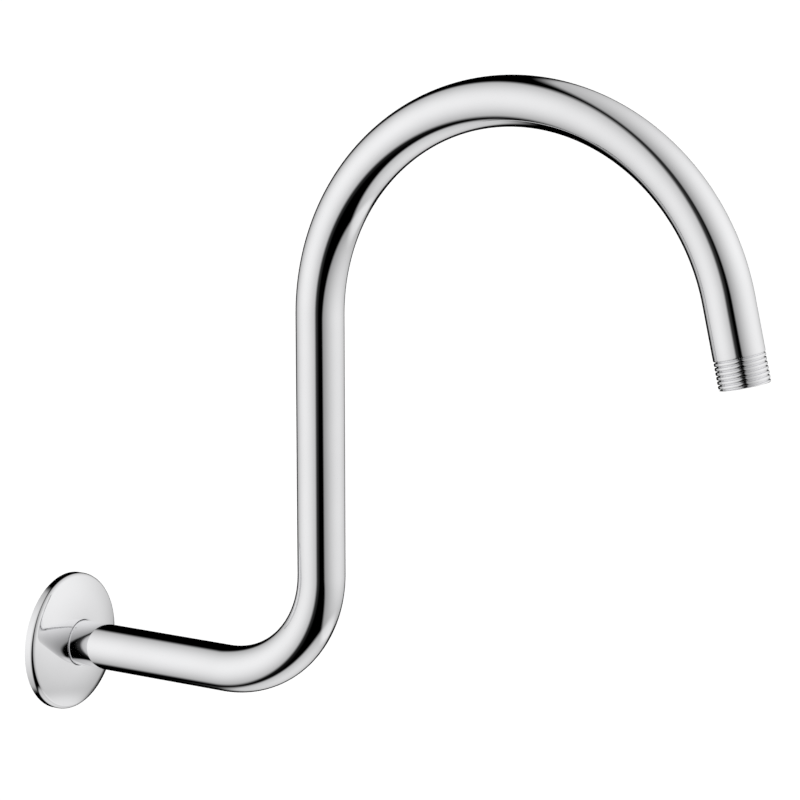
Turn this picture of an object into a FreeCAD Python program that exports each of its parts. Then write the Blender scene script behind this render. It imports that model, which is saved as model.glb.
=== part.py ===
import FreeCAD, Part

import math
import os

import Sketcher

# Gooseneck shower arm: a bent brass tube with a male pipe thread cut on both ends, and the domed
# wall flange that slides over it and hides the hole in the tiles. Millimetres.
#
# The origin is on the axis of the inlet, in the plane of the wall. +X points out of the wall into
# the room and +Z points up. The tube is bent in the XZ plane.

DRIVING_SIZES = [
    ("tube_diameter", 21.0, "outside of the tube"),
    ("tube_wall", 2.5, "wall of the tube, thick enough to be threaded"),
    ("inlet_depth", 15.0, "length of tube behind the face of the wall"),
    ("wall_to_rise", 140.0, "face of the wall to the axis of the upright stretch"),
    ("low_bend_radius", 50.5, "axis radius of the quarter bend below the upright stretch"),
    ("gooseneck_height", 165.5, "inlet axis to the height at which the gooseneck starts"),
    ("gooseneck_radius", 95.6, "axis radius of the gooseneck"),
    ("gooseneck_sweep", 167.0, "degrees through which the gooseneck turns"),
    ("outlet_leg", 34.6, "straight tube after the gooseneck, its thread included"),
    ("crest_step", 0.0225, "surface of the tube to the crests, which makes them 20.955 across"),
    ("thread_depth", 1.162, "crest to root of the half inch parallel pipe thread"),
    ("thread_pitch", 1.814, "14 turns to the inch"),
    ("inlet_turns", 7.0, "turns of full thread behind the wall"),
    ("outlet_turns", 6.0, "turns of full thread at the outlet"),
    ("lead_chamfer", 0.3, "chamfer on which the thread starts"),
    ("mouth_chamfer", 0.5, "chamfer on the inner edge of each open end"),
    ("flange_diameter", 64.0, "outside of the wall flange"),
    ("rim_height", 4.2, "face of the wall to the corner of rim and dome, before it is rounded"),
    ("rim_wall", 2.0, "radial thickness of the rim"),
    ("rim_rounding", 2.6, "rounding between the rim and the dome"),
    ("dome_radius", 98.0, "radius of the sphere that the front of the flange belongs to"),
    ("dome_wall", 1.8, "thickness of the dome"),
    ("collar_wall", 4.6, "radial thickness of the collar inside the flange"),
    ("collar_setback", 1.2, "back of the collar to the face of the wall"),
    ("inside_rounding", 0.8, "rounding inside the flange, where the dome meets collar and rim"),
    ("bore_clearance", 0.15, "radial play of the flange on the tube"),
    ("bore_rounding", 0.7, "rounding on the front edge of the flange's hole"),
    ("ring_section", 2.0, "thickness of the rubber ring that holds the flange on the tube"),
    ("ring_groove_width", 2.6, "width of the groove for the rubber ring"),
    ("ring_play", 0.1, "radial room between tube, rubber ring and groove, both sides together"),
]

SHEET = "Sizes"
OVERCUT = 2.0  # how far a cutting section runs past the surface that it cuts


def make_sheet(doc):
    """The spreadsheet of driving sizes, one row each: name, value, meaning."""
    sheet = doc.addObject("Spreadsheet::Sheet", SHEET)
    for row, (alias, value, meaning) in enumerate(DRIVING_SIZES, start=1):
        sheet.set(f"A{row}", alias)
        sheet.set(f"B{row}", str(value))
        sheet.set(f"C{row}", meaning)
        sheet.setAlias(f"B{row}", alias)
    doc.recompute()
    return sheet


def vector(x, y):
    return FreeCAD.Vector(x, y, 0)


def new_sketch(body, name, plane_role):
    """An empty sketch on one of the body's own origin planes."""
    plane = next(f for f in body.Origin.OriginFeatures if f.Role == plane_role)
    sketch = body.newObject("Sketcher::SketchObject", name)
    sketch.AttachmentSupport = [(plane, "")]
    sketch.MapMode = "FlatFace"
    return sketch


def add_line(sketch, start, end):
    return sketch.addGeometry(Part.LineSegment(vector(*start), vector(*end)), False)


def add_arc(sketch, centre, radius, from_degrees, to_degrees):
    circle = Part.Circle(vector(*centre), FreeCAD.Vector(0, 0, 1), radius)
    arc = Part.ArcOfCircle(circle, math.radians(from_degrees), math.radians(to_degrees))
    return sketch.addGeometry(arc, False)


def constraint(kind, *items):
    """A constraint whose items are edges, sizes, and words for points and for the sketch's axes."""
    words = {
        "start": (1,),
        "end": (2,),
        "centre": (3,),
        "origin": (-1, 1),
        "h_axis": (-1,),
        "v_axis": (-2,),
    }
    numbers = [number for item in items for number in words.get(item, (item,))]
    return Sketcher.Constraint(kind, *numbers)


def relate(sketch, *relations):
    """Constraints that hold no size."""
    for relation in relations:
        sketch.addConstraint(constraint(*relation))


def dimension(sketch, name, expression, *relation):
    """A named constraint whose size follows the spreadsheet."""
    index = sketch.addConstraint(constraint(*relation))
    sketch.renameConstraint(index, name)
    sketch.setExpression(f"Constraints.{name}", expression)


def add_profile_line(sketch, points):
    """A closed run of straight edges through the points, joined end to end."""
    edges = [add_line(sketch, a, b) for a, b in zip(points, points[1:] + points[:1])]
    for edge, following in zip(edges, edges[1:] + edges[:1]):
        relate(sketch, ("Coincident", edge, "end", following, "start"))
    return edges


def circular_edges(shape, radius, centre):
    """Names of the full-circle edges of one radius around one point."""
    names = []
    for number, edge in enumerate(shape.Edges, start=1):
        curve = edge.Curve
        if isinstance(curve, Part.Circle) and abs(curve.Radius - radius) < 1e-4:
            if (curve.Center - centre).Length < 1e-3:
                names.append(f"Edge{number}")
    return names


def outlet_end(size):
    """The outlet's mouth on the tube's axis, and the direction in which water leaves."""
    sweep = math.radians(size("gooseneck_sweep"))
    outwards = FreeCAD.Vector(math.sin(sweep), 0, math.cos(sweep))
    arch = FreeCAD.Vector(1 - math.cos(sweep), 0, math.sin(sweep)) * size("gooseneck_radius")
    start = FreeCAD.Vector(size("wall_to_rise"), 0, size("gooseneck_height"))
    return start + arch + outwards * size("outlet_leg"), outwards


def route_sketch(body, size):
    """The tube's axis: run out of the wall, quarter bend, rise, gooseneck, outlet leg."""
    rise_x = size("wall_to_rise")
    low, high = size("low_bend_radius"), size("gooseneck_height")
    arch, sweep = size("gooseneck_radius"), size("gooseneck_sweep")
    mouth, outwards = outlet_end(size)
    leg_start = mouth - outwards * size("outlet_leg")

    route = new_sketch(body, "tube_route", "XZ_Plane")
    run = add_line(route, (-size("inlet_depth"), 0), (rise_x - low, 0))
    bend = add_arc(route, (rise_x - low, low), low, -90, 0)
    rise = add_line(route, (rise_x, low), (rise_x, high))
    gooseneck = add_arc(route, (rise_x + arch, high), arch, 180 - sweep, 180)
    leg = add_line(route, (leg_start.x, leg_start.z), (mouth.x, mouth.z))
    relate(
        route,
        ("PointOnObject", run, "start", "h_axis"),
        ("Horizontal", run),
        ("Tangent", run, "end", bend, "start"),
        ("Tangent", bend, "end", rise, "start"),
        ("Vertical", rise),
        ("Tangent", rise, "end", gooseneck, "end"),
        ("Tangent", gooseneck, "start", leg, "start"),
    )
    dimension(route, "behind_wall", f"{SHEET}.inlet_depth",
              "DistanceX", run, "start", "origin", size("inlet_depth"))
    dimension(route, "rise_off_wall", f"{SHEET}.wall_to_rise",
              "DistanceX", "origin", rise, "start", rise_x)
    dimension(route, "low_radius", f"{SHEET}.low_bend_radius", "Radius", bend, low)
    dimension(route, "spring_height", f"{SHEET}.gooseneck_height",
              "DistanceY", "origin", rise, "end", high)
    dimension(route, "arch_radius", f"{SHEET}.gooseneck_radius", "Radius", gooseneck, arch)
    dimension(route, "arch_sweep", f"{SHEET}.gooseneck_sweep * 1 deg",
              "Angle", gooseneck, math.radians(sweep))
    dimension(route, "leg_length", f"{SHEET}.outlet_leg", "Distance", leg, size("outlet_leg"))
    return route


def tube_section(body, size):
    """The tube's ring section, at the open end behind the wall."""
    section = new_sketch(body, "tube_section", "YZ_Plane")
    section.setExpression("AttachmentOffset.Base.z", f"-{SHEET}.inlet_depth")
    outer_radius = size("tube_diameter") / 2
    inner_radius = outer_radius - size("tube_wall")
    normal = FreeCAD.Vector(0, 0, 1)
    outer = section.addGeometry(Part.Circle(vector(0, 0), normal, outer_radius), False)
    inner = section.addGeometry(Part.Circle(vector(0, 0), normal, inner_radius), False)
    relate(
        section,
        ("Coincident", outer, "centre", "origin"),
        ("Coincident", inner, "centre", "origin"),
    )
    dimension(section, "outside", f"{SHEET}.tube_diameter / 2", "Radius", outer, outer_radius)
    dimension(section, "bore", f"{SHEET}.tube_diameter / 2 - {SHEET}.tube_wall",
              "Radius", inner, inner_radius)
    return section


def thread_cut(body, size, name, turns):
    """Turns one end of the tube down to the thread's crests, with its lead chamfer and run-out.

    The section starts at the open end and runs along the sketch's own horizontal axis, into the
    tube. The fine helix itself is left out: its run-out is one full-depth V.
    """
    length = size(turns) * size("thread_pitch")
    crest = size("tube_diameter") / 2 - size("crest_step")
    root = crest - size("thread_depth")
    lead = size("lead_chamfer")
    pitch = size("thread_pitch")
    past = size("tube_diameter") / 2 + OVERCUT
    points = [
        (0, past),
        (0, crest - lead),
        (lead, crest),
        (length, crest),
        (length + pitch / 2, root),
        (length + pitch, past - OVERCUT),
        (length + pitch, past),
    ]
    sketch = new_sketch(body, f"{name}_section", "XZ_Plane")
    edges = add_profile_line(sketch, points)
    front, chamfer, crests, down, up, side, top = edges
    relate(
        sketch,
        ("Vertical", front),
        ("Horizontal", crests),
        ("Vertical", side),
        ("Horizontal", top),
        ("PointOnObject", front, "start", "v_axis"),
    )
    crest_text = f"{SHEET}.tube_diameter / 2 - {SHEET}.crest_step"
    length_text = f"{SHEET}.{turns} * {SHEET}.thread_pitch"
    past_text = f"{SHEET}.tube_diameter / 2"
    dimension(sketch, "past", f"{past_text} + {OVERCUT}",
              "DistanceY", "origin", front, "start", past)
    dimension(sketch, "lead_start", f"{crest_text} - {SHEET}.lead_chamfer",
              "DistanceY", "origin", chamfer, "start", crest - lead)
    dimension(sketch, "lead_length", f"{SHEET}.lead_chamfer",
              "DistanceX", "origin", chamfer, "end", lead)
    dimension(sketch, "crest", crest_text, "DistanceY", "origin", crests, "start", crest)
    dimension(sketch, "thread_end", length_text, "DistanceX", "origin", crests, "end", length)
    dimension(sketch, "root_at", f"{length_text} + {SHEET}.thread_pitch / 2",
              "DistanceX", "origin", down, "end", length + pitch / 2)
    dimension(sketch, "root", f"{crest_text} - {SHEET}.thread_depth",
              "DistanceY", "origin", down, "end", root)
    dimension(sketch, "run_out_at", f"{length_text} + {SHEET}.thread_pitch",
              "DistanceX", "origin", up, "end", length + pitch)
    dimension(sketch, "run_out_top", past_text, "DistanceY", "origin", up, "end", past - OVERCUT)
    return sketch


def turn_thread(body, size, name, turns, place):
    """Cuts one thread. place gives the offset of the section's origin in the XZ plane."""
    sketch = thread_cut(body, size, name, turns)
    for path, expression in place.items():
        sketch.setExpression(f"AttachmentOffset.{path}", expression)
    cut = body.newObject("PartDesign::Groove", name)
    cut.Profile = sketch
    cut.ReferenceAxis = (sketch, ["H_Axis"])
    cut.Angle = 360
    return cut


def make_arm_tube(doc, size):
    """The one-piece bent tube, hollow from end to end."""
    body = doc.addObject("PartDesign::Body", "arm_tube")
    route = route_sketch(body, size)
    section = tube_section(body, size)
    pipe = body.newObject("PartDesign::AdditivePipe", "bent_tube")
    pipe.Profile = section
    pipe.Spine = (route, [])
    pipe.Mode = "Standard"

    turn_thread(body, size, "inlet_thread", "inlet_turns",
                {"Base.x": f"-{SHEET}.inlet_depth"})
    sweep = f"{SHEET}.gooseneck_sweep * 1 deg"
    turn_thread(body, size, "outlet_thread", "outlet_turns", {
        "Base.x": f"{SHEET}.wall_to_rise + {SHEET}.gooseneck_radius * (1 - cos({sweep}))"
                  f" + {SHEET}.outlet_leg * sin({sweep})",
        "Base.y": f"{SHEET}.gooseneck_height + {SHEET}.gooseneck_radius * sin({sweep})"
                  f" + {SHEET}.outlet_leg * cos({sweep})",
        "Rotation.Axis.z": "1",
        "Rotation.Angle": f"270 deg - {sweep}",
    })
    doc.recompute()

    inlet = FreeCAD.Vector(-size("inlet_depth"), 0, 0)
    outlet, _ = outlet_end(size)
    bore = size("tube_diameter") / 2 - size("tube_wall")
    before = body.Tip
    edges = circular_edges(before.Shape, bore, inlet)
    edges += circular_edges(before.Shape, bore, outlet)
    mouths = body.newObject("PartDesign::Chamfer", "mouth_chamfers")
    mouths.Base = (before, edges)
    mouths.setExpression("Size", f"{SHEET}.mouth_chamfer")
    return body


def dome_centre(size):
    """Centre of the dome's sphere, along the flange's axis."""
    rim_outer = size("flange_diameter") / 2
    return size("rim_height") - math.sqrt(size("dome_radius") ** 2 - rim_outer ** 2)


DOME_CENTRE = (
    f"({SHEET}.rim_height - sqrt({SHEET}.dome_radius ^ 2 - ({SHEET}.flange_diameter / 2) ^ 2))"
)


def add_rounding(sketch, centre_x, dome, edge, rounding, name, alias):
    """The arc that rounds the corner of the dome and a wall parallel to the axis at height edge.

    A positive rounding lies above the wall and a negative one below it. Returns the arc, with the
    angle at which it meets the dome, seen from the dome's centre.
    """
    radius = abs(rounding)
    height = edge + rounding
    x = centre_x + math.sqrt((dome - radius) ** 2 - height ** 2)
    angle = math.degrees(math.atan2(height, x - centre_x))
    span = (-90, angle) if rounding > 0 else (angle, 90)
    arc = add_arc(sketch, (x, height), radius, *span)
    dimension(sketch, name, f"{SHEET}.{alias}", "Radius", arc, radius)
    return arc, angle


def flange_section(body, size):
    """Half section of the flange: rim, dome, and the collar that the tube passes through."""
    rim_outer = size("flange_diameter") / 2
    rim_inner = rim_outer - size("rim_wall")
    dome, inner_dome = size("dome_radius"), size("dome_radius") - size("dome_wall")
    bore = size("tube_diameter") / 2 + size("bore_clearance")
    collar = bore + size("collar_wall")
    setback = size("collar_setback")
    centre_x = dome_centre(size)
    centre = (centre_x, 0)

    sketch = new_sketch(body, "flange_section", "XZ_Plane")
    rim_round, rim_angle = add_rounding(
        sketch, centre_x, dome, rim_outer, -size("rim_rounding"), "rim_round", "rim_rounding")
    hole_round, hole_angle = add_rounding(
        sketch, centre_x, dome, bore, size("bore_rounding"), "hole_round", "bore_rounding")
    collar_round, collar_angle = add_rounding(
        sketch, centre_x, inner_dome, collar, size("inside_rounding"),
        "collar_round", "inside_rounding")
    inner_round, inner_angle = add_rounding(
        sketch, centre_x, inner_dome, rim_inner, -size("inside_rounding"),
        "inner_round", "inside_rounding")

    def arc_x(arc):
        return sketch.Geometry[arc].Center.x

    front = add_arc(sketch, centre, dome, hole_angle, rim_angle)
    inside = add_arc(sketch, centre, inner_dome, collar_angle, inner_angle)
    rim = add_line(sketch, (0, rim_outer), (arc_x(rim_round), rim_outer))
    hole = add_line(sketch, (arc_x(hole_round), bore), (setback, bore))
    collar_back = add_line(sketch, (setback, bore), (setback, collar))
    collar_side = add_line(sketch, (setback, collar), (arc_x(collar_round), collar))
    rim_inside = add_line(sketch, (arc_x(inner_round), rim_inner), (0, rim_inner))
    rim_back = add_line(sketch, (0, rim_inner), (0, rim_outer))
    relate(
        sketch,
        ("Horizontal", rim),
        ("Horizontal", hole),
        ("Vertical", collar_back),
        ("Horizontal", collar_side),
        ("Horizontal", rim_inside),
        ("Vertical", rim_back),
        ("Tangent", rim, "end", rim_round, "end"),
        ("Tangent", rim_round, "start", front, "end"),
        ("Tangent", front, "start", hole_round, "end"),
        ("Tangent", hole_round, "start", hole, "start"),
        ("Coincident", hole, "end", collar_back, "start"),
        ("Coincident", collar_back, "end", collar_side, "start"),
        ("Tangent", collar_side, "end", collar_round, "start"),
        ("Tangent", collar_round, "end", inside, "start"),
        ("Tangent", inside, "end", inner_round, "start"),
        ("Tangent", inner_round, "end", rim_inside, "start"),
        ("Coincident", rim_inside, "end", rim_back, "start"),
        ("Coincident", rim_back, "end", rim, "start"),
        ("PointOnObject", rim, "start", "v_axis"),
        ("PointOnObject", front, "centre", "h_axis"),
        ("Coincident", inside, "centre", front, "centre"),
    )
    rim_text = f"{SHEET}.flange_diameter / 2"
    bore_text = f"{SHEET}.tube_diameter / 2 + {SHEET}.bore_clearance"
    dimension(sketch, "dome_centre", f"-{DOME_CENTRE}",
              "DistanceX", front, "centre", "origin", -centre_x)
    dimension(sketch, "dome", f"{SHEET}.dome_radius", "Radius", front, dome)
    dimension(sketch, "inner_dome", f"{SHEET}.dome_radius - {SHEET}.dome_wall",
              "Radius", inside, inner_dome)
    dimension(sketch, "rim_radius", rim_text, "DistanceY", "origin", rim, "start", rim_outer)
    dimension(sketch, "rim_inner", f"{rim_text} - {SHEET}.rim_wall",
              "DistanceY", "origin", rim_inside, "end", rim_inner)
    dimension(sketch, "hole", bore_text, "DistanceY", "origin", hole, "end", bore)
    dimension(sketch, "setback", f"{SHEET}.collar_setback",
              "DistanceX", "origin", hole, "end", setback)
    dimension(sketch, "collar", f"{bore_text} + {SHEET}.collar_wall",
              "DistanceY", "origin", collar_side, "start", collar)
    return sketch


def ring_middle(size):
    """Where the rubber ring sits along the tube: halfway along the flange's hole."""
    bore = size("tube_diameter") / 2 + size("bore_clearance")
    hole_front = dome_centre(size) + math.sqrt(size("dome_radius") ** 2 - bore ** 2)
    return (size("collar_setback") + hole_front) / 2


RING_MIDDLE = (
    f"({SHEET}.collar_setback + {DOME_CENTRE}"
    f" + sqrt({SHEET}.dome_radius ^ 2 - ({SHEET}.tube_diameter / 2 + {SHEET}.bore_clearance) ^ 2))"
    f" / 2"
)


def revolve(body, kind, name, sketch):
    """A full turn of a section around the sketch's horizontal axis."""
    feature = body.newObject(kind, name)
    feature.Profile = sketch
    feature.ReferenceAxis = (sketch, ["H_Axis"])
    feature.Angle = 360
    return feature


def make_wall_flange(doc, size):
    """The domed flange, with a collar inside it that is grooved for the rubber ring."""
    body = doc.addObject("PartDesign::Body", "wall_flange")
    revolve(body, "PartDesign::Revolution", "flange_shell", flange_section(body, size))

    floor = size("tube_diameter") / 2 + size("ring_section") + size("ring_play")
    width = size("ring_groove_width")
    low = size("tube_diameter") / 2
    middle = ring_middle(size)
    groove_sketch = new_sketch(body, "ring_groove_section", "XZ_Plane")
    points = [
        (middle - width / 2, low),
        (middle + width / 2, low),
        (middle + width / 2, floor),
        (middle - width / 2, floor),
    ]
    under, right, top, left = add_profile_line(groove_sketch, points)
    relate(
        groove_sketch,
        ("Horizontal", under),
        ("Vertical", right),
        ("Horizontal", top),
        ("Vertical", left),
    )
    dimension(groove_sketch, "starts", f"{RING_MIDDLE} - {SHEET}.ring_groove_width / 2",
              "DistanceX", "origin", under, "start", middle - width / 2)
    dimension(groove_sketch, "width", f"{SHEET}.ring_groove_width",
              "DistanceX", under, "start", under, "end", width)
    dimension(groove_sketch, "low", f"{SHEET}.tube_diameter / 2",
              "DistanceY", "origin", under, "start", low)
    dimension(groove_sketch, "floor",
              f"{SHEET}.tube_diameter / 2 + {SHEET}.ring_section + {SHEET}.ring_play",
              "DistanceY", "origin", top, "start", floor)
    revolve(body, "PartDesign::Groove", "ring_groove", groove_sketch)
    return body


def make_flange_ring(doc, size):
    """The rubber ring in the collar's groove. It grips the tube and holds the flange to the wall."""
    body = doc.addObject("PartDesign::Body", "flange_ring")
    radius = size("ring_section") / 2
    height = size("tube_diameter") / 2 + radius + size("ring_play") / 2
    sketch = new_sketch(body, "ring_section_circle", "XZ_Plane")
    circle = Part.Circle(vector(ring_middle(size), height), FreeCAD.Vector(0, 0, 1), radius)
    section = sketch.addGeometry(circle, False)
    dimension(sketch, "thickness", f"{SHEET}.ring_section / 2", "Radius", section, radius)
    dimension(sketch, "along", RING_MIDDLE,
              "DistanceX", "origin", section, "centre", ring_middle(size))
    dimension(sketch, "off_axis",
              f"({SHEET}.tube_diameter + {SHEET}.ring_section + {SHEET}.ring_play) / 2",
              "DistanceY", "origin", section, "centre", height)
    revolve(body, "PartDesign::Revolution", "ring", sketch)
    return body


def check(doc, pieces):
    """Stops if any object failed to build or a piece isn't one sound solid."""
    for obj in doc.Objects:
        if "Invalid" in obj.State or "Error" in obj.State:
            raise RuntimeError(f"{obj.Label}: {obj.State}")
    for piece in pieces:
        shape = piece.Shape
        if shape.isNull() or not shape.isValid() or len(shape.Solids) != 1:
            raise RuntimeError(f"{piece.Label} is not one sound solid")
        print(f"{piece.Label}: {shape.Volume:.1f} mm3, {shape.optimalBoundingBox()}")


def main():
    doc = FreeCAD.newDocument("shower_arm")
    sheet = make_sheet(doc)
    size = sheet.get
    pieces = [
        make_arm_tube(doc, size),
        make_wall_flange(doc, size),
        make_flange_ring(doc, size),
    ]
    doc.recompute()
    check(doc, pieces)
    os.makedirs("parts", exist_ok=True)
    for piece in pieces:
        piece.Shape.exportStep(os.path.join("parts", f"{piece.Label}.step"))


main()
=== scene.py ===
import math

import bmesh
import bpy
import numpy as np
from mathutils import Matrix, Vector


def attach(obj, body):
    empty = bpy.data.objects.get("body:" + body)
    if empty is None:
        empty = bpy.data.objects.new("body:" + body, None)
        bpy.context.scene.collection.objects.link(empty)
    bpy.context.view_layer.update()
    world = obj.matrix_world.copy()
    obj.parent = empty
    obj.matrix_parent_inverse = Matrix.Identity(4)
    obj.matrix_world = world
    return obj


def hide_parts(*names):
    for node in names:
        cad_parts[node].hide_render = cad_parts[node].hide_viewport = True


# Gooseneck shower arm: a bent tube with a right-hand pipe thread on both ends, the domed flange
# that covers the hole in the wall, and the rubber ring between them. All of it is chrome plated
# but for the rubber and the waterway.
#
# The origin is on the inlet's axis in the plane of the wall, +X into the room, +Z up.

MM = 0.001

# The tube and its route in the XZ plane
TUBE_RADIUS = 10.5 * MM
BORE_RADIUS = 8.0 * MM
INLET_DEPTH = 15.0 * MM
WALL_TO_RISE = 140.0 * MM
LOW_BEND_RADIUS = 50.5 * MM
GOOSENECK_HEIGHT = 165.5 * MM
GOOSENECK_RADIUS = 95.6 * MM
GOOSENECK_SWEEP = math.radians(167.0)
OUTLET_LEG = 34.6 * MM
MOUTH_CHAMFER = 0.5 * MM

# The half inch parallel pipe thread, with broad crests that the polishing has rounded a little
CREST_RADIUS = 10.4775 * MM
THREAD_PITCH = 1.814 * MM
CREST_REACH = 0.52 * MM  # middle of a crest to the edge of the groove
CREST_ROUNDING = 1.6 * MM
ROOT_ROUNDING = 0.12 * MM
FLANK_ANGLE = math.radians(18.0)
LEAD_CHAMFER = 0.3 * MM
INLET_TURNS = 7.0
OUTLET_TURNS = 6.4
RUN_OUT_TURNS = 0.8
OUTLET_CREST = 0.12  # turns from the outlet's end to the last crest, on the side away from the wall

# The wall flange. Its inside is a sphere, and its front nearly one.
FLANGE_RADIUS = 32.0 * MM
RIM_HEIGHT = 4.2 * MM
RIM_WALL = 2.0 * MM
RIM_ROUNDING = 2.6 * MM
DOME_RADIUS = 98.0 * MM
DOME_WALL = 1.8 * MM
HOLE_CLEARANCE = 0.15 * MM
HOLE_RADIUS = TUBE_RADIUS + HOLE_CLEARANCE
HOLE_ROUNDING = 0.7 * MM
COLLAR_WALL = 4.6 * MM
COLLAR_SETBACK = 1.2 * MM
INSIDE_ROUNDING = 0.8 * MM

# The dome's front: its distance from the wall at the hole's rounding, its slope against the wall
# at the hole, halfway and at the rim, and the distances from the axis between which it runs
FRONT_X = 8.65 * MM
HOLE_SLOPE = math.radians(0.0)
MIDDLE_SLOPE = math.radians(11.0)
RIM_SLOPE = math.radians(21.3)
FRONT_START = HOLE_RADIUS + HOLE_ROUNDING * (1 + math.sin(HOLE_SLOPE))
FRONT_END = FLANGE_RADIUS - RIM_ROUNDING * (1 - math.sin(RIM_SLOPE))

# The rubber ring and its groove
RING_SECTION = 2.0 * MM
RING_GROOVE_WIDTH = 2.6 * MM
RING_PLAY = 0.1 * MM

# How finely the surfaces are divided
AROUND = 128
FLANGE_AROUND = 2 * AROUND
INLET_STEP = THREAD_PITCH / 20
OUTLET_STEP = THREAD_PITCH / 32
STRAIGHT_STEP = 5.0 * MM
BEND_STEP = math.radians(1.5)
BORE_STRAIGHT_STEP = 140.0 * MM
BORE_BEND_STEP = math.radians(5.0)
FRONT_STEPS = 60
INSIDE_STEPS = 20
ROUNDING_STEPS = 10
INSIDE_ROUNDING_STEPS = 8
RING_STEPS = 24

# The camera
CAMERA_AZIMUTH = math.radians(29.986)
CAMERA_ELEVATION = math.radians(11.247)
CAMERA_TARGET = Vector((179.67, 0.0, 132.13)) * MM
CAMERA_DISTANCE = 1120.7 * MM
CAMERA_LENS = 118.78
CAMERA_SENSOR = 36.0
CAMERA_NEAR = 0.05
CAMERA_FAR = 200

FLOOR_HEIGHT = -0.40
FLOOR_REACH = 30.0
FLOOR_LIFT = 0.56  # light that the floor adds for the camera alone, to look white

# The values of a noise between which a material changes
COLOUR_SPAN = (0.35, 0.65)
ROUGHNESS_SPAN = (0.3, 0.7)

# The studio's round lights, in degrees as seen from the part. An axis is the angle round the
# left-right axis, from the camera's side over the top, and the angle to the left. The brightness
# is a level that grows along a lean, given as (towards the camera's side, up, left).
LEFT_AXIS = (41, 81.7)
LEFT_RADIUS, LEFT_SOFTNESS = 64.0, 5.1
LEFT_LEVEL, LEFT_LEAN = 0.071, (0.196, 0.127, 0.903)
RIGHT_AXIS = (78.3, -67.5)
RIGHT_RADIUS, RIGHT_SOFTNESS = 77.6, 3.5
RIGHT_LEVEL, RIGHT_LEAN = 0.254, (-0.053, 0.291, -0.693)
TABLE_AXIS = (-101, -15)
TABLE_RADIUS, TABLE_SOFTNESS = 36.4, 4.9
TABLE_LEVEL, TABLE_LEAN = -0.654, (-0.337, -1.391, -0.286)
TABLE_COVER = 0.43  # share of the right light that the table hides
SPILL_RADIUS, SPILL_SOFTNESS = 72.6, 8.6  # faint light round the left one, on the camera's side
SPILL_LEVEL = 0.057

# The route as stretches of (length, curvature). A positive curvature turns the tube upwards.
ROUTE = [
    (INLET_DEPTH + WALL_TO_RISE - LOW_BEND_RADIUS, 0.0),
    (LOW_BEND_RADIUS * math.pi / 2, 1 / LOW_BEND_RADIUS),
    (GOOSENECK_HEIGHT - LOW_BEND_RADIUS, 0.0),
    (GOOSENECK_RADIUS * GOOSENECK_SWEEP, -1 / GOOSENECK_RADIUS),
    (OUTLET_LEG, 0.0),
]
ROUTE_LENGTH = sum(length for length, _ in ROUTE)


def new_material(name):
    """A material with a Principled shader. Returns it, its node tree and the shader."""
    material = bpy.data.materials.new(name)
    material.use_nodes = True
    tree = material.node_tree
    shader = next(n for n in tree.nodes if n.type == "BSDF_PRINCIPLED")
    return material, tree, shader


def add_noise(tree, scale, detail):
    """Noise in the part's own coordinates. Its scale counts features in a metre."""
    place = tree.nodes.new("ShaderNodeTexCoord")
    noise = tree.nodes.new("ShaderNodeTexNoise")
    noise.inputs["Scale"].default_value = scale
    noise.inputs["Detail"].default_value = detail
    tree.links.new(place.outputs["Object"], noise.inputs["Vector"])
    return noise


def vary_colour(tree, shader, noise, dark, light):
    """Leads the base colour between two close colours."""
    ramp = tree.nodes.new("ShaderNodeValToRGB")
    for element, place, colour in zip(ramp.color_ramp.elements, COLOUR_SPAN, (dark, light)):
        element.position = place
        element.color = (*colour, 1)
    tree.links.new(noise.outputs["Fac"], ramp.inputs["Fac"])
    tree.links.new(ramp.outputs["Color"], shader.inputs["Base Color"])


def vary_roughness(tree, shader, noise, low, high):
    """Leads the roughness between two values."""
    spread = tree.nodes.new("ShaderNodeMapRange")
    limits = (*ROUGHNESS_SPAN, low, high)
    for name, value in zip(("From Min", "From Max", "To Min", "To Max"), limits):
        spread.inputs[name].default_value = value
    tree.links.new(noise.outputs["Fac"], spread.inputs["Value"])
    tree.links.new(spread.outputs["Result"], shader.inputs["Roughness"])


def add_bump(tree, shader, noise, distance):
    """Raises the surface by up to a distance where the noise is high."""
    bump = tree.nodes.new("ShaderNodeBump")
    bump.inputs["Distance"].default_value = distance
    bump.inputs["Strength"].default_value = 1.0
    tree.links.new(noise.outputs["Fac"], bump.inputs["Height"])
    tree.links.new(bump.outputs["Normal"], shader.inputs["Normal"])


def polished_chrome():
    """Mirror-bright plating, with the faint waviness of a buffed tube."""
    material, tree, shader = new_material("polished_chrome")
    shader.inputs["Metallic"].default_value = 1.0
    vary_colour(tree, shader, add_noise(tree, 45, 2), (0.85, 0.85, 0.86), (0.87, 0.87, 0.88))
    vary_roughness(tree, shader, add_noise(tree, 160, 4), 0.03, 0.05)
    add_bump(tree, shader, add_noise(tree, 120, 2), 0.002 * MM)
    return material


def plated_inside():
    """The unbuffed inside of the flange: thin, dull plating over the pressed metal."""
    material, tree, shader = new_material("dull_plating")
    shader.inputs["Metallic"].default_value = 1.0
    vary_colour(tree, shader, add_noise(tree, 90, 4), (0.62, 0.62, 0.62), (0.74, 0.74, 0.74))
    vary_roughness(tree, shader, add_noise(tree, 700, 5), 0.26, 0.42)
    add_bump(tree, shader, add_noise(tree, 1500, 4), 0.03 * MM)
    return material


def bare_brass():
    """The waterway, drawn and left unplated."""
    material, tree, shader = new_material("bare_brass")
    shader.inputs["Metallic"].default_value = 1.0
    vary_colour(tree, shader, add_noise(tree, 160, 4), (0.56, 0.42, 0.22), (0.72, 0.56, 0.32))
    vary_roughness(tree, shader, add_noise(tree, 900, 3), 0.25, 0.45)
    add_bump(tree, shader, add_noise(tree, 1200, 4), 0.03 * MM)
    return material


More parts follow.
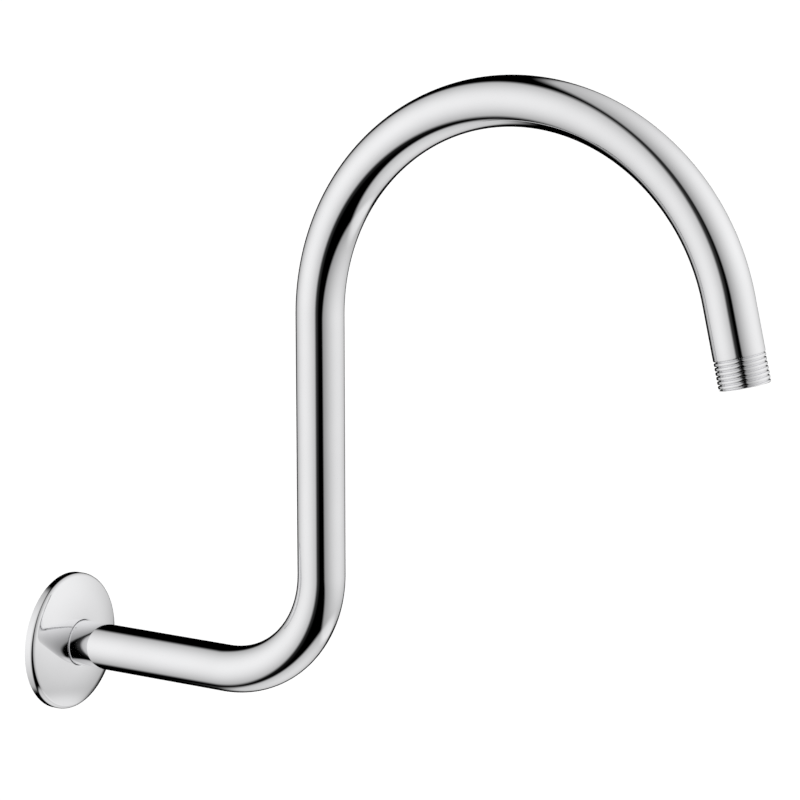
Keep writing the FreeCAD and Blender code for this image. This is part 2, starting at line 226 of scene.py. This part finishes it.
def black_rubber():
    """The flange's ring."""
    material, tree, shader = new_material("black_rubber")
    vary_colour(tree, shader, add_noise(tree, 300, 3), (0.022, 0.022, 0.022), (0.04, 0.04, 0.04))
    vary_roughness(tree, shader, add_noise(tree, 900, 4), 0.45, 0.65)
    add_bump(tree, shader, add_noise(tree, 2500, 4), 0.02 * MM)
    return material


def build_piece(name, rings, bands, sharp_rings):
    """A closed surface from a closed row of rings, each a closed row of points.

    bands are (first ring, material) in order. sharp_rings are the rings that are true corners.
    """
    count, around = rings.shape[:2]
    index = np.arange(count * around).reshape(count, around)
    ahead = np.roll(index, -1, axis=0)
    faces = np.stack(
        [index, np.roll(index, -1, axis=1), np.roll(ahead, -1, axis=1), ahead], axis=-1)
    mesh = bpy.data.meshes.new(name)
    mesh.from_pydata(rings.reshape(-1, 3).tolist(), [], faces.reshape(-1, 4).tolist())
    for _, material in bands:
        mesh.materials.append(material)
    firsts = [first for first, _ in bands]
    sharp = set(sharp_rings)

    shaped = bmesh.new()
    shaped.from_mesh(mesh)
    shaped.faces.ensure_lookup_table()
    for number, face in enumerate(shaped.faces):
        face.smooth = True
        face.material_index = int(np.searchsorted(firsts, number // around, side="right")) - 1
    for edge in shaped.edges:
        one, other = (v.index // around for v in edge.verts)
        if one == other and one in sharp:
            edge.smooth = False
    bmesh.ops.recalc_face_normals(shaped, faces=shaped.faces)
    shaped.to_mesh(mesh)
    shaped.free()

    piece = bpy.data.objects.new(name, mesh)
    bpy.context.scene.collection.objects.link(piece)
    return piece


def place_on_route(distance):
    """x, z and heading of the tube's axis at a distance from the inlet's end."""
    x, z, heading = -INLET_DEPTH, 0.0, 0.0
    for length, curvature in ROUTE:
        step = min(distance, length)
        turn = curvature * step
        if curvature:
            x += (math.sin(heading + turn) - math.sin(heading)) / curvature
            z += (math.cos(heading) - math.cos(heading + turn)) / curvature
        else:
            x += math.cos(heading) * step
            z += math.sin(heading) * step
        heading += turn
        distance -= step
    return x, z, heading


def ring_on_route(distance, radii, angles):
    """Points round the tube's axis. The angle runs from the side that is on top at the inlet
    towards -Y, right-handed about the direction of flow."""
    x, z, heading = place_on_route(distance)
    across = radii * np.cos(angles)
    aside = -radii * np.sin(angles)
    return np.stack(
        [x - across * math.sin(heading), aside, z + across * math.cos(heading)], axis=-1)


def thread_drop(offset):
    """How far the thread lies under its crests, at an offset along the axis from one crest."""
    from_crest = np.abs((offset + THREAD_PITCH / 2) % THREAD_PITCH - THREAD_PITCH / 2)
    from_root = THREAD_PITCH / 2 - from_crest
    root_reach = ROOT_ROUNDING * math.cos(FLANK_ANGLE)
    crest_edge = CREST_ROUNDING - math.sqrt(CREST_ROUNDING**2 - CREST_REACH**2)
    flank_end = crest_edge + (THREAD_PITCH / 2 - root_reach - CREST_REACH) / math.tan(FLANK_ANGLE)
    depth = flank_end + ROOT_ROUNDING * (1 - math.sin(FLANK_ANGLE))
    crest = CREST_ROUNDING - np.sqrt(CREST_ROUNDING**2 - np.minimum(from_crest, CREST_REACH) ** 2)
    root = ROOT_ROUNDING - np.sqrt(ROOT_ROUNDING**2 - np.minimum(from_root, root_reach) ** 2)
    flank = crest_edge + (from_crest - CREST_REACH) / math.tan(FLANK_ANGLE)
    drop = np.where(from_crest < CREST_REACH, crest, flank)
    return np.where(from_root < root_reach, depth - root, drop)


def smooth_step(value):
    """0 below 0, 1 above 1, and an even S between."""
    value = np.clip(value, 0, 1)
    return value * value * (3 - 2 * value)


def threaded_radii(distance, angles, end_distance, turns, crest):
    """Outer radii round the tube in its threaded end. crest is the place of a crest at angle 0."""
    depth = 1 - smooth_step((end_distance / THREAD_PITCH - turns) / RUN_OUT_TURNS)
    helix = distance - THREAD_PITCH * angles / (2 * math.pi)
    surface = TUBE_RADIUS + (CREST_RADIUS - TUBE_RADIUS) * depth
    radii = surface - thread_drop(helix - crest) * depth
    return np.minimum(radii, CREST_RADIUS - LEAD_CHAMFER + end_distance)


def outer_radii(distance, angles):
    """Outer radii round the tube at a distance from the inlet's end."""
    inlet_end, outlet_end = distance, ROUTE_LENGTH - distance
    if inlet_end < (INLET_TURNS + RUN_OUT_TURNS) * THREAD_PITCH:
        return threaded_radii(distance, angles, inlet_end, INLET_TURNS, 0.0)
    if outlet_end < (OUTLET_TURNS + RUN_OUT_TURNS) * THREAD_PITCH:
        crest = ROUTE_LENGTH - OUTLET_CREST * THREAD_PITCH
        return threaded_radii(distance, angles, outlet_end, OUTLET_TURNS, crest)
    return np.full_like(angles, TUBE_RADIUS)


def spread(start, end, step):
    """Evenly spaced values from start up to, but without, end."""
    return np.linspace(start, end, max(1, math.ceil((end - start) / step)), endpoint=False)


def stations(start, end, straight_step, bend_step):
    """Distances along the route between two places, closer together in the bends."""
    found, reached = [], 0.0
    for length, curvature in ROUTE:
        low, high = max(start, reached), min(end, reached + length)
        if low < high:
            step = bend_step / abs(curvature) if curvature else straight_step
            found.append(spread(low, high, step))
        reached += length
    return np.concatenate(found)


def make_arm_tube(chrome, brass):
    """The bent tube as one closed surface: outside, outlet's end, waterway, inlet's end."""
    angles = np.arange(AROUND) * 2 * math.pi / AROUND
    inlet_thread = (INLET_TURNS + RUN_OUT_TURNS) * THREAD_PITCH
    outlet_thread = ROUTE_LENGTH - (OUTLET_TURNS + RUN_OUT_TURNS) * THREAD_PITCH
    outside = np.concatenate([
        spread(0, inlet_thread, INLET_STEP),
        stations(inlet_thread, outlet_thread, STRAIGHT_STEP, BEND_STEP),
        spread(outlet_thread, ROUTE_LENGTH, OUTLET_STEP),
        [ROUTE_LENGTH],
    ])
    inside = np.concatenate([
        stations(MOUTH_CHAMFER, ROUTE_LENGTH - MOUTH_CHAMFER, BORE_STRAIGHT_STEP, BORE_BEND_STEP),
        [ROUTE_LENGTH - MOUTH_CHAMFER],
    ])
    mouth = np.full_like(angles, BORE_RADIUS + MOUTH_CHAMFER)
    bore = np.full_like(angles, BORE_RADIUS)
    rings = [ring_on_route(s, outer_radii(s, angles), angles) for s in outside]
    outlet_face = len(rings) - 1
    rings.append(ring_on_route(ROUTE_LENGTH, mouth, angles))
    rings += [ring_on_route(s, bore, angles) for s in inside[::-1]]
    inlet_bore = len(rings) - 1
    rings.append(ring_on_route(0, mouth, angles))
    sharp = [0, outlet_face, outlet_face + 1, outlet_face + 2, inlet_bore, inlet_bore + 1]
    bands = [(0, chrome), (outlet_face + 1, brass), (inlet_bore + 1, chrome)]
    return build_piece("arm_tube_threaded", np.array(rings), bands, sharp)


def arc(centre, radius, start, end, steps):
    """Points (x, height) of an arc, both ends included."""
    turns = np.linspace(start, end, steps + 1)
    return [(centre[0] + radius * math.cos(t), centre[1] + radius * math.sin(t)) for t in turns]


def rounding(dome_centre, dome, wall, radius):
    """Centre of the arc between a sphere and a wall parallel to the axis, and the angle from the
    sphere's centre at which they touch. A negative radius rounds on the axis' side of the wall."""
    height = wall + radius
    reach = dome - abs(radius)
    angle = math.asin(height / reach)
    return (dome_centre + reach * math.cos(angle), height), angle


def dome_front():
    """Points (x, height) of the dome's front from the rim's rounding to the hole's. Its slope
    follows a parabola through those at the hole, halfway and at the rim."""
    heights = np.linspace(FRONT_END, FRONT_START, FRONT_STEPS + 1)
    share = (heights - FRONT_START) / (FRONT_END - FRONT_START)
    slopes = (
        HOLE_SLOPE * (1 - share) * (1 - 2 * share)
        + MIDDLE_SLOPE * 4 * share * (1 - share)
        + RIM_SLOPE * share * (2 * share - 1))
    rises = (np.tan(slopes[1:]) + np.tan(slopes[:-1])) / 2 * -np.diff(heights)
    x = FRONT_X - np.concatenate([np.cumsum(rises[::-1])[::-1], [0]])
    return list(zip(x.tolist(), heights.tolist()))


def flange_profile():
    """Half section of the flange as (x, height) points, and which of them are corners."""
    centre = RIM_HEIGHT - math.sqrt(DOME_RADIUS**2 - FLANGE_RADIUS**2)
    inner = DOME_RADIUS - DOME_WALL
    rim_inner = FLANGE_RADIUS - RIM_WALL
    collar = HOLE_RADIUS + COLLAR_WALL
    up, down = math.pi / 2, -math.pi / 2
    front = dome_front()
    rim_round = (front[0][0] - RIM_ROUNDING * math.cos(RIM_SLOPE), FLANGE_RADIUS - RIM_ROUNDING)
    hole_round = (front[-1][0] - HOLE_ROUNDING * math.cos(HOLE_SLOPE), HOLE_RADIUS + HOLE_ROUNDING)
    collar_round, collar_angle = rounding(centre, inner, collar, INSIDE_ROUNDING)
    inner_round, inner_angle = rounding(centre, inner, rim_inner, -INSIDE_ROUNDING)
    groove_middle = ring_middle()[0]
    groove_front = groove_middle + RING_GROOVE_WIDTH / 2
    groove_back = groove_middle - RING_GROOVE_WIDTH / 2
    groove_height = TUBE_RADIUS + RING_SECTION + RING_PLAY

    points, corners = [], []

    def corner(x, height):
        corners.append(len(points))
        points.append((x, height))

    corner(0, FLANGE_RADIUS)
    points.extend(arc(rim_round, RIM_ROUNDING, up, RIM_SLOPE, ROUNDING_STEPS))
    points.extend(front[1:])
    points.extend(arc(hole_round, HOLE_ROUNDING, HOLE_SLOPE, down, ROUNDING_STEPS)[1:])
    corner(groove_front, HOLE_RADIUS)
    corner(groove_front, groove_height)
    corner(groove_back, groove_height)
    corner(groove_back, HOLE_RADIUS)
    corner(COLLAR_SETBACK, HOLE_RADIUS)
    corner(COLLAR_SETBACK, collar)
    steps = INSIDE_ROUNDING_STEPS
    points.extend(arc(collar_round, INSIDE_ROUNDING, down, collar_angle, steps))
    points.extend(arc((centre, 0), inner, collar_angle, inner_angle, INSIDE_STEPS)[1:])
    points.extend(arc(inner_round, INSIDE_ROUNDING, inner_angle, up, steps)[1:])
    corner(0, rim_inner)
    return points, corners


def ring_middle():
    """x and height of the middle of the rubber ring's section."""
    centre = RIM_HEIGHT - math.sqrt(DOME_RADIUS**2 - FLANGE_RADIUS**2)
    hole_front = centre + math.sqrt(DOME_RADIUS**2 - HOLE_RADIUS**2)
    return (hole_front + COLLAR_SETBACK) / 2, TUBE_RADIUS + (RING_SECTION + RING_PLAY) / 2


def turned(points, around):
    """Rings about the X axis through (x, height) points."""
    angles = np.arange(around) * 2 * math.pi / around
    return np.array([
        np.stack([np.full_like(angles, x), r * np.cos(angles), r * np.sin(angles)], axis=-1)
        for x, r in points
    ])


def make_wall_flange(chrome, dull):
    """The domed flange, bright in front and dull inside."""
    points, corners = flange_profile()
    bands = [(0, chrome), (corners[1], dull), (corners[-1], chrome)]
    return build_piece("wall_flange_domed", turned(points, FLANGE_AROUND), bands, corners)


def make_flange_ring(rubber):
    """The rubber ring in the flange's groove."""
    points = arc(ring_middle(), RING_SECTION / 2, 0, 2 * math.pi, RING_STEPS)[:-1]
    return build_piece("flange_ring_rubber", turned(points, AROUND), [(0, rubber)], [])


def make_floor():
    """A wide, pale, plain floor below the part."""
    material, tree, shader = new_material("floor_white")
    vary_colour(tree, shader, add_noise(tree, 3, 2), (0.82, 0.82, 0.82), (0.84, 0.84, 0.84))
    shader.inputs["Roughness"].default_value = 0.9
    shader.inputs["Emission Color"].default_value = (1, 1, 1, 1)
    path = tree.nodes.new("ShaderNodeLightPath")
    lift = tree.nodes.new("ShaderNodeMath")
    lift.operation = "MULTIPLY"
    lift.inputs[1].default_value = FLOOR_LIFT
    tree.links.new(path.outputs["Is Camera Ray"], lift.inputs[0])
    tree.links.new(lift.outputs["Value"], shader.inputs["Emission Strength"])
    mesh = bpy.data.meshes.new("floor")
    corners = [(-1, -1), (1, -1), (1, 1), (-1, 1)]
    points = [(x * FLOOR_REACH, y * FLOOR_REACH, FLOOR_HEIGHT) for x, y in corners]
    mesh.from_pydata(points, [], [(0, 1, 2, 3)])
    mesh.materials.append(material)
    floor = bpy.data.objects.new("floor", mesh)
    floor.visible_glossy = False
    bpy.context.scene.collection.objects.link(floor)


def direction(toward_camera, up, left):
    """A direction given by the studio's own axes: towards the camera's side, up, and left."""
    camera_side = Vector((math.sin(CAMERA_AZIMUTH), -math.cos(CAMERA_AZIMUTH), 0))
    left_side = Vector((-math.cos(CAMERA_AZIMUTH), -math.sin(CAMERA_AZIMUTH), 0))
    return camera_side * toward_camera + Vector((0, 0, 1)) * up + left_side * left


def round_axis(around, aside):
    """Unit direction at an angle round the left-right axis, from the camera's side over the top,
    and at an angle off that circle, to the left."""
    around, aside = math.radians(around), math.radians(aside)
    return direction(
        math.cos(around) * math.cos(aside), math.sin(around) * math.cos(aside), math.sin(aside))


class Studio:
    """The world's node tree: round lights on black, as seen from the part."""

    def __init__(self):
        world = bpy.data.worlds.new("studio")
        world.use_nodes = True
        bpy.context.scene.world = world
        self.tree = world.node_tree
        self.background = next(n for n in self.tree.nodes if n.type == "BACKGROUND")
        self.looking = self.tree.nodes.new("ShaderNodeTexCoord").outputs["Generated"]

    def math(self, operation, one, other):
        """The result of an operation on two values or sockets."""
        node = self.tree.nodes.new("ShaderNodeMath")
        node.operation = operation
        for socket, value in zip(node.inputs, (one, other)):
            if isinstance(value, (int, float)):
                socket.default_value = value
            else:
                self.tree.links.new(value, socket)
        return node.outputs["Value"]

    def along(self, vector):
        """How far the direction of the ray goes along a vector."""
        node = self.tree.nodes.new("ShaderNodeVectorMath")
        node.operation = "DOT_PRODUCT"
        node.inputs[1].default_value = vector
        self.tree.links.new(self.looking, node.inputs[0])
        return node.outputs["Value"]

    def disc(self, axis, radius, softness):
        """1 inside a round light about an axis, 0 outside."""
        node = self.tree.nodes.new("ShaderNodeMapRange")
        node.interpolation_type = "SMOOTHSTEP"
        node.inputs["From Min"].default_value = math.cos(math.radians(radius + softness))
        node.inputs["From Max"].default_value = math.cos(math.radians(radius - softness))
        self.tree.links.new(self.along(round_axis(*axis)), node.inputs["Value"])
        return node.outputs["Result"]

    def shade(self, level, lean):
        """A brightness that grows from a level along a lean."""
        return self.math("ADD", self.along(direction(*lean)), level)

    def finish(self, light):
        """Shows the lights to all but the camera, which sees plain white."""
        path = self.tree.nodes.new("ShaderNodeLightPath")
        shown = self.math("MAXIMUM", light, path.outputs["Is Camera Ray"])
        self.background.inputs["Color"].default_value = (1, 1, 1, 1)
        self.tree.links.new(shown, self.background.inputs["Strength"])


def light_studio():
    """Two broad round lights left and right with a dark gap between, and a light round table."""
    studio = Studio()
    left_disc = studio.disc(LEFT_AXIS, LEFT_RADIUS, LEFT_SOFTNESS)
    right_disc = studio.disc(RIGHT_AXIS, RIGHT_RADIUS, RIGHT_SOFTNESS)
    table_disc = studio.disc(TABLE_AXIS, TABLE_RADIUS, TABLE_SOFTNESS)
    left = studio.math("MULTIPLY", left_disc, studio.shade(LEFT_LEVEL, LEFT_LEAN))
    right = studio.math("MULTIPLY", right_disc, studio.shade(RIGHT_LEVEL, RIGHT_LEAN))
    table = studio.math("MULTIPLY", table_disc, studio.shade(TABLE_LEVEL, TABLE_LEAN))
    shown = studio.math("SUBTRACT", 1.0, studio.math("MULTIPLY", table_disc, TABLE_COVER))
    round_left = studio.disc(LEFT_AXIS, SPILL_RADIUS, SPILL_SOFTNESS)
    spill = studio.math("MULTIPLY", round_left, studio.math("SUBTRACT", 1.0, left_disc))
    facing = studio.math("MAXIMUM", studio.along(direction(1, 0, 0)), 0.0)
    spill = studio.math("MULTIPLY", spill, studio.math("MULTIPLY", facing, facing))
    light = studio.math("ADD", left, studio.math("MULTIPLY", right, shown))
    light = studio.math("ADD", light, table)
    light = studio.math("ADD", light, studio.math("MULTIPLY", spill, SPILL_LEVEL))
    studio.finish(light)


def make_camera():
    """A long lens that looks a little down on the arm."""
    data = bpy.data.cameras.new("camera")
    data.lens = CAMERA_LENS
    data.sensor_width = CAMERA_SENSOR
    data.clip_start = CAMERA_NEAR
    data.clip_end = CAMERA_FAR
    camera = bpy.data.objects.new("camera", data)
    back = Vector((
        math.sin(CAMERA_AZIMUTH) * math.cos(CAMERA_ELEVATION),
        -math.cos(CAMERA_AZIMUTH) * math.cos(CAMERA_ELEVATION),
        math.sin(CAMERA_ELEVATION),
    ))
    camera.location = CAMERA_TARGET + back * CAMERA_DISTANCE
    camera.rotation_mode = "QUATERNION"
    camera.rotation_quaternion = (-back).to_track_quat("-Z", "Y")
    bpy.context.scene.collection.objects.link(camera)
    bpy.context.scene.camera = camera


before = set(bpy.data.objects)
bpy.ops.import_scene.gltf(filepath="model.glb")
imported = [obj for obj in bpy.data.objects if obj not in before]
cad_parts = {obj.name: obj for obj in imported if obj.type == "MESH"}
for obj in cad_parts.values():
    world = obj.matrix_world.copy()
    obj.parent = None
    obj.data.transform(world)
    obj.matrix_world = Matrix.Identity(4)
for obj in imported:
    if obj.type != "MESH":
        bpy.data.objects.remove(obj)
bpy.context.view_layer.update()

chrome = polished_chrome()
rubber = black_rubber()
for piece, node, slot in (
    (make_arm_tube(chrome, bare_brass()), "arm_tube", "polished_chrome"),
    (make_wall_flange(chrome, plated_inside()), "wall_flange", "polished_chrome"),
    (make_flange_ring(rubber), "flange_ring", "black_rubber"),
):
    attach(piece, "root")
    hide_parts(node)

make_floor()
light_studio()
make_camera()
bpy.context.scene.view_settings.view_transform = "Standard"
